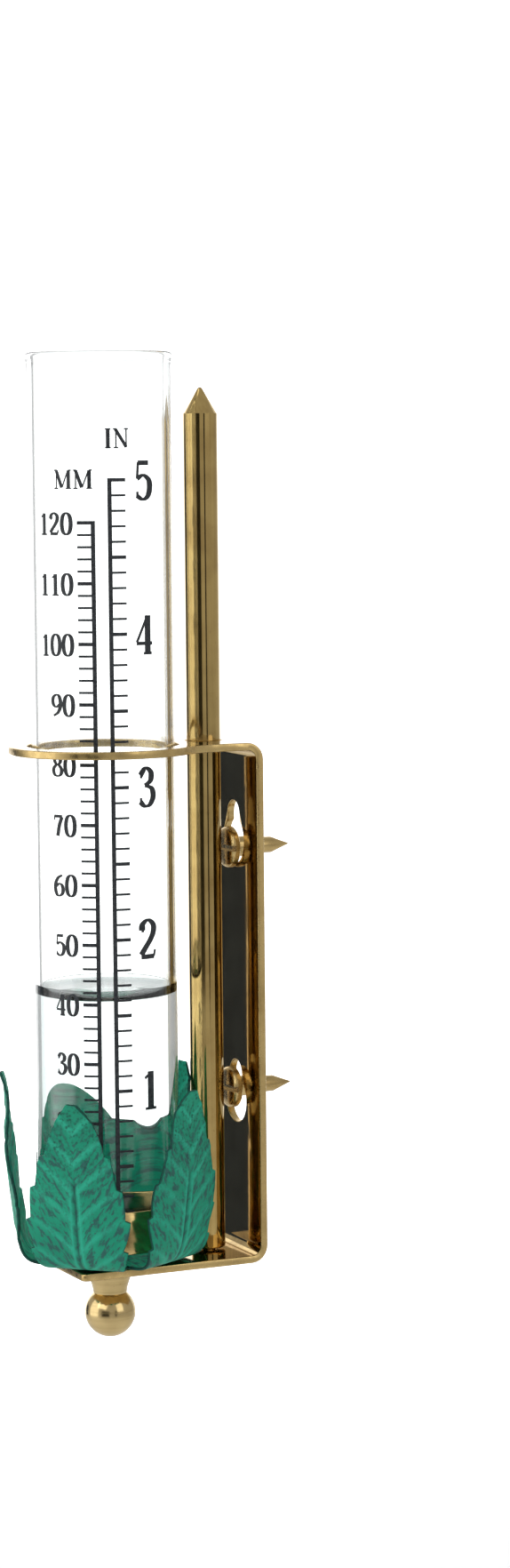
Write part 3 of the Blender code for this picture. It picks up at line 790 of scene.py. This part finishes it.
def make_knob():
    """The finial: a flange and a cone down to a neck, then a ball."""
    top = KNOB_HIGH.z
    ball_r = 4.33 * MM
    ball_z = KNOB_LOW.z + ball_r
    profile = [(2.3 * MM, top), (4.0 * MM, top)]
    profile += arc((4.0 * MM, top - 0.2 * MM), 0.2 * MM, 90, 0, 3)
    profile += arc((4.0 * MM, top - 0.5 * MM), 0.2 * MM, 0, -70, 3)
    profile += [(3.72 * MM, top - 0.86 * MM), (3.5 * MM, top - 1.7 * MM), (3.2 * MM, top - 2.6 * MM)]
    profile += [(2.98 * MM, top - 3.4 * MM), (2.88 * MM, top - 4.1 * MM), (2.8 * MM, top - 4.2 * MM)]
    profile += arc((0, ball_z), ball_r, 49.5, -90, 36)[:-1]
    profile += [(0, ball_z - ball_r), (0, top - 5.3 * MM), (2.3 * MM, top - 5.3 * MM)]
    piece("ball_knob", turned(profile), KNOB_BRASS, "finial", ["finial_knob"], 25)


def make_rod():
    """The pointed rod, with its thin tenon through the lower arm."""
    low, high = ROD_LOW.z, ROD_HIGH.z
    foot = ARM_TOP_Z + 0.3 * MM
    cone = high - 4.3 * MM
    profile = [(0, high)] + arc((0, high - 0.5 * MM), 0.5 * MM, 80, 25, 4)
    profile += [(2.75 * MM, cone + 0.05 * MM), (2.9 * MM, cone - 0.1 * MM)]
    profile += arc((2.5 * MM, foot + 0.4 * MM), 0.4 * MM, 0, -90, 4)
    profile += [(1.15 * MM, foot), (1.15 * MM, low + 0.2 * MM), (0.95 * MM, low), (0, low)]
    piece("pointed_rod", turned(profile, ROD_Y, 64), ROD_BRASS, "rod", ["guard_rod"], 30)


def thread(shape, turns, pitch, root, crest, start):
    """A helical ridge round +Z, running down from start."""
    corners = ((root * 0.7, -0.42), (crest, -0.06), (crest, 0.06), (root * 0.7, 0.42))
    ring = [shape.verts.new((radius, 0, start + rise * pitch)) for radius, rise in corners]
    edges = [shape.edges.new((ring[index], ring[(index + 1) % len(ring)])) for index in range(len(ring))]
    first = shape.faces.new(ring)
    steps = round(turns * 24)
    swept = bmesh.ops.spin(
        shape,
        geom=ring + edges,
        cent=(0, 0, 0),
        axis=(0, 0, 1),
        dvec=(0, 0, -pitch * turns / steps),
        angle=math.tau * turns,
        steps=steps,
        use_merge=False,
        use_duplicate=False,
    )
    last = [item for item in swept["geom_last"] if isinstance(item, bmesh.types.BMVert)]
    shape.faces.new(last)
    return first


def make_screw(name, node):
    """A slotted pan-head wood screw with a helical thread, laid with its point into the post."""
    low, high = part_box(node)
    head_r = (high.x - low.x) / 2
    middle = (low.z + high.z) / 2
    length = high.y - low.y
    top = 1.68 * MM
    profile = [(0, top), (head_r * 0.5, top - 0.03 * MM)] + arc((head_r - 0.75 * MM, top - 0.85 * MM), 0.75 * MM, 75, 0, 7)
    profile += [(head_r, 0.15 * MM), (head_r - 0.15 * MM, 0), (1.75 * MM, 0), (1.75 * MM, -2.2 * MM)]
    profile += [(1.45 * MM, -2.6 * MM), (1.4 * MM, top - length + 3.4 * MM), (0.1 * MM, top - length), (0, top - length)]
    body = turned(profile, 0, 48)
    thread(body, 2.8, 1.75 * MM, 1.4 * MM, 2.02 * MM, -2.9 * MM)
    bmesh.ops.recalc_face_normals(body, faces=body.faces)
    bmesh.ops.rotate(body, verts=body.verts, matrix=Matrix.Rotation(math.pi / 2, 3, "X"))
    bmesh.ops.translate(body, verts=body.verts, vec=(0, low.y + top, middle))
    made = piece(name, body, SCREW_BRASS, "holder", [node], 30)
    slot = bmesh.new()
    bmesh.ops.create_cube(slot, size=1)
    bmesh.ops.scale(slot, verts=slot.verts, vec=(head_r * 2.4, 1.6 * MM, 1.0 * MM))
    bmesh.ops.translate(slot, verts=slot.verts, vec=(0, low.y, middle))
    cutter_mesh = bpy.data.meshes.new(name + "_slot")
    slot.to_mesh(cutter_mesh)
    slot.free()
    cutter = bpy.data.objects.new(name + "_slot", cutter_mesh)
    bpy.context.scene.collection.objects.link(cutter)
    cut = made.modifiers.new("Slot", "BOOLEAN")
    cut.operation = "DIFFERENCE"
    cut.solver = "EXACT"
    cut.object = cutter
    bpy.context.view_layer.update()
    finished = bpy.data.meshes.new_from_object(made.evaluated_get(bpy.context.evaluated_depsgraph_get()))
    made.modifiers.remove(cut)
    made.data = finished
    bpy.data.objects.remove(cutter)
    return made


make_tube()
make_water()
make_scale()
make_leaves()
make_bracket()
merged_copy("clamp_stud", "finial_stud", SCREW_BRASS, "holder")
make_socket()
make_knob()
make_rod()
make_screw("post_screw_upper", "mounting_screw_upper")
make_screw("post_screw_lower", "mounting_screw_lower")


# Stage, light and camera -------------------------------------------------------------------------------------


def stage_card(name, azimuth, wide, low, high, away, colour, glow=0.0):
    """An upright card bent round the gauge, wide degrees to either side of an azimuth."""
    shape = bmesh.new()
    rows = []
    for step in range(13):
        spot = toward(azimuth + wide * (step / 6 - 1)) * away
        rows.append([shape.verts.new((spot.x, spot.y, height)) for height in (low, high)])
    for first, second in zip(rows, rows[1:]):
        shape.faces.new((first[0], first[1], second[1], second[0]))
    card = Paint(name, Base_Color=colour, Roughness=1.0, Specular_IOR_Level=0.0)
    card.put("Emission Color", (1.0, 1.0, 1.0))
    card.put("Emission Strength", glow)
    made = stage_piece(name, shape, card.material)
    if glow == 0:
        # A dark card only darkens what the brass mirrors
        made.visible_camera = False
        made.visible_transmission = False


def stage_piece(name, shape, paint):
    mesh = bpy.data.meshes.new(name)
    shape.to_mesh(mesh)
    shape.free()
    mesh.materials.append(paint)
    made = bpy.data.objects.new(name, mesh)
    bpy.context.scene.collection.objects.link(made)
    return made


def toward(azimuth, elevation=0.0):
    """The direction of a place round the gauge: 0 is in front, and 90 is at +X."""
    a, e = math.radians(azimuth), math.radians(elevation)
    return Vector((math.sin(a) * math.cos(e), -math.cos(a) * math.cos(e), math.sin(e)))


def area_light(name, azimuth, elevation, distance, size, power, target=(0, -0.02, 0.02)):
    light = bpy.data.lights.new(name, "AREA")
    light.shape = "RECTANGLE"
    light.size, light.size_y = size
    light.energy = power
    lamp = bpy.data.objects.new(name, light)
    lamp.location = Vector(target) + toward(azimuth, elevation) * distance
    lamp.rotation_euler = toward(azimuth, elevation).to_track_quat("Z", "Y").to_euler()
    bpy.context.scene.collection.objects.link(lamp)


FLOOR_Z = -0.6
CARD_TOP = 1.4
CARD_AWAY = 2.1
CAMERA_TURN = 67  # degrees from the front, towards +X
floor = bmesh.new()
bmesh.ops.create_grid(floor, x_segments=1, y_segments=1, size=5)
bmesh.ops.translate(floor, verts=floor.verts, vec=(0, 0, FLOOR_Z))
stage_piece("floor", floor, floor_paint())
stage_card("white_backdrop", CAMERA_TURN + 192, 24, FLOOR_Z, CARD_TOP, CARD_AWAY, (0.9, 0.9, 0.9), 1.0)
stage_card("pale_side", 220, 15, FLOOR_Z, CARD_TOP, CARD_AWAY, (0.66, 0.7, 0.7), 0.72)
stage_card("white_side", -14, 24, FLOOR_Z, CARD_TOP, CARD_AWAY, (0.9, 0.9, 0.9), 0.9)
stage_card("dark_side", -68, 15, FLOOR_Z, 0.1, CARD_AWAY, (0.046, 0.062, 0.1))
stage_card("dark_front", 44, 18, FLOOR_Z, 0.35, CARD_AWAY, (0.05, 0.05, 0.04))
stage_card("dark_strip", 92, 4, FLOOR_Z, 0.35, CARD_AWAY, (0.02, 0.02, 0.015))

world = bpy.data.worlds.new("studio")
world.use_nodes = True
world.node_tree.nodes["Background"].inputs["Color"].default_value = (1.0, 1.0, 1.0, 1.0)
world.node_tree.nodes["Background"].inputs["Strength"].default_value = 0.55
bpy.context.scene.world = world
bpy.context.scene.view_settings.view_transform = "Standard"

area_light("key", 25, 40, 1.8, (1.5, 1.5), 10.0)
area_light("fill", 115, 25, 1.8, (1.0, 1.4), 5.0)

CAMERA_AZIMUTH = math.radians(CAMERA_TURN)
CAMERA_DISTANCE = 627.1 * MM
CAMERA_HEIGHT = 132.7 * MM  # above the scale's zero
CAMERA_PITCH = math.radians(5.21)
CAMERA_YAW = math.radians(2.335)
CAMERA_ROLL = math.radians(-0.534)
camera_data = bpy.data.cameras.new("camera")
camera_data.lens = 85.69
camera_data.clip_start = 0.01
camera = bpy.data.objects.new("camera", camera_data)
outward = Vector((math.sin(CAMERA_AZIMUTH), -math.cos(CAMERA_AZIMUTH), 0))
camera.location = Vector((0, AXIS_Y, SCALE_ZERO_Z + CAMERA_HEIGHT)) + outward * CAMERA_DISTANCE
heading = Euler((math.pi / 2 - CAMERA_PITCH, 0, CAMERA_AZIMUTH - CAMERA_YAW)).to_matrix()
camera.rotation_euler = (heading @ Matrix.Rotation(CAMERA_ROLL, 3, "Z")).to_euler()
bpy.context.scene.collection.objects.link(camera)
bpy.context.scene.camera = camera
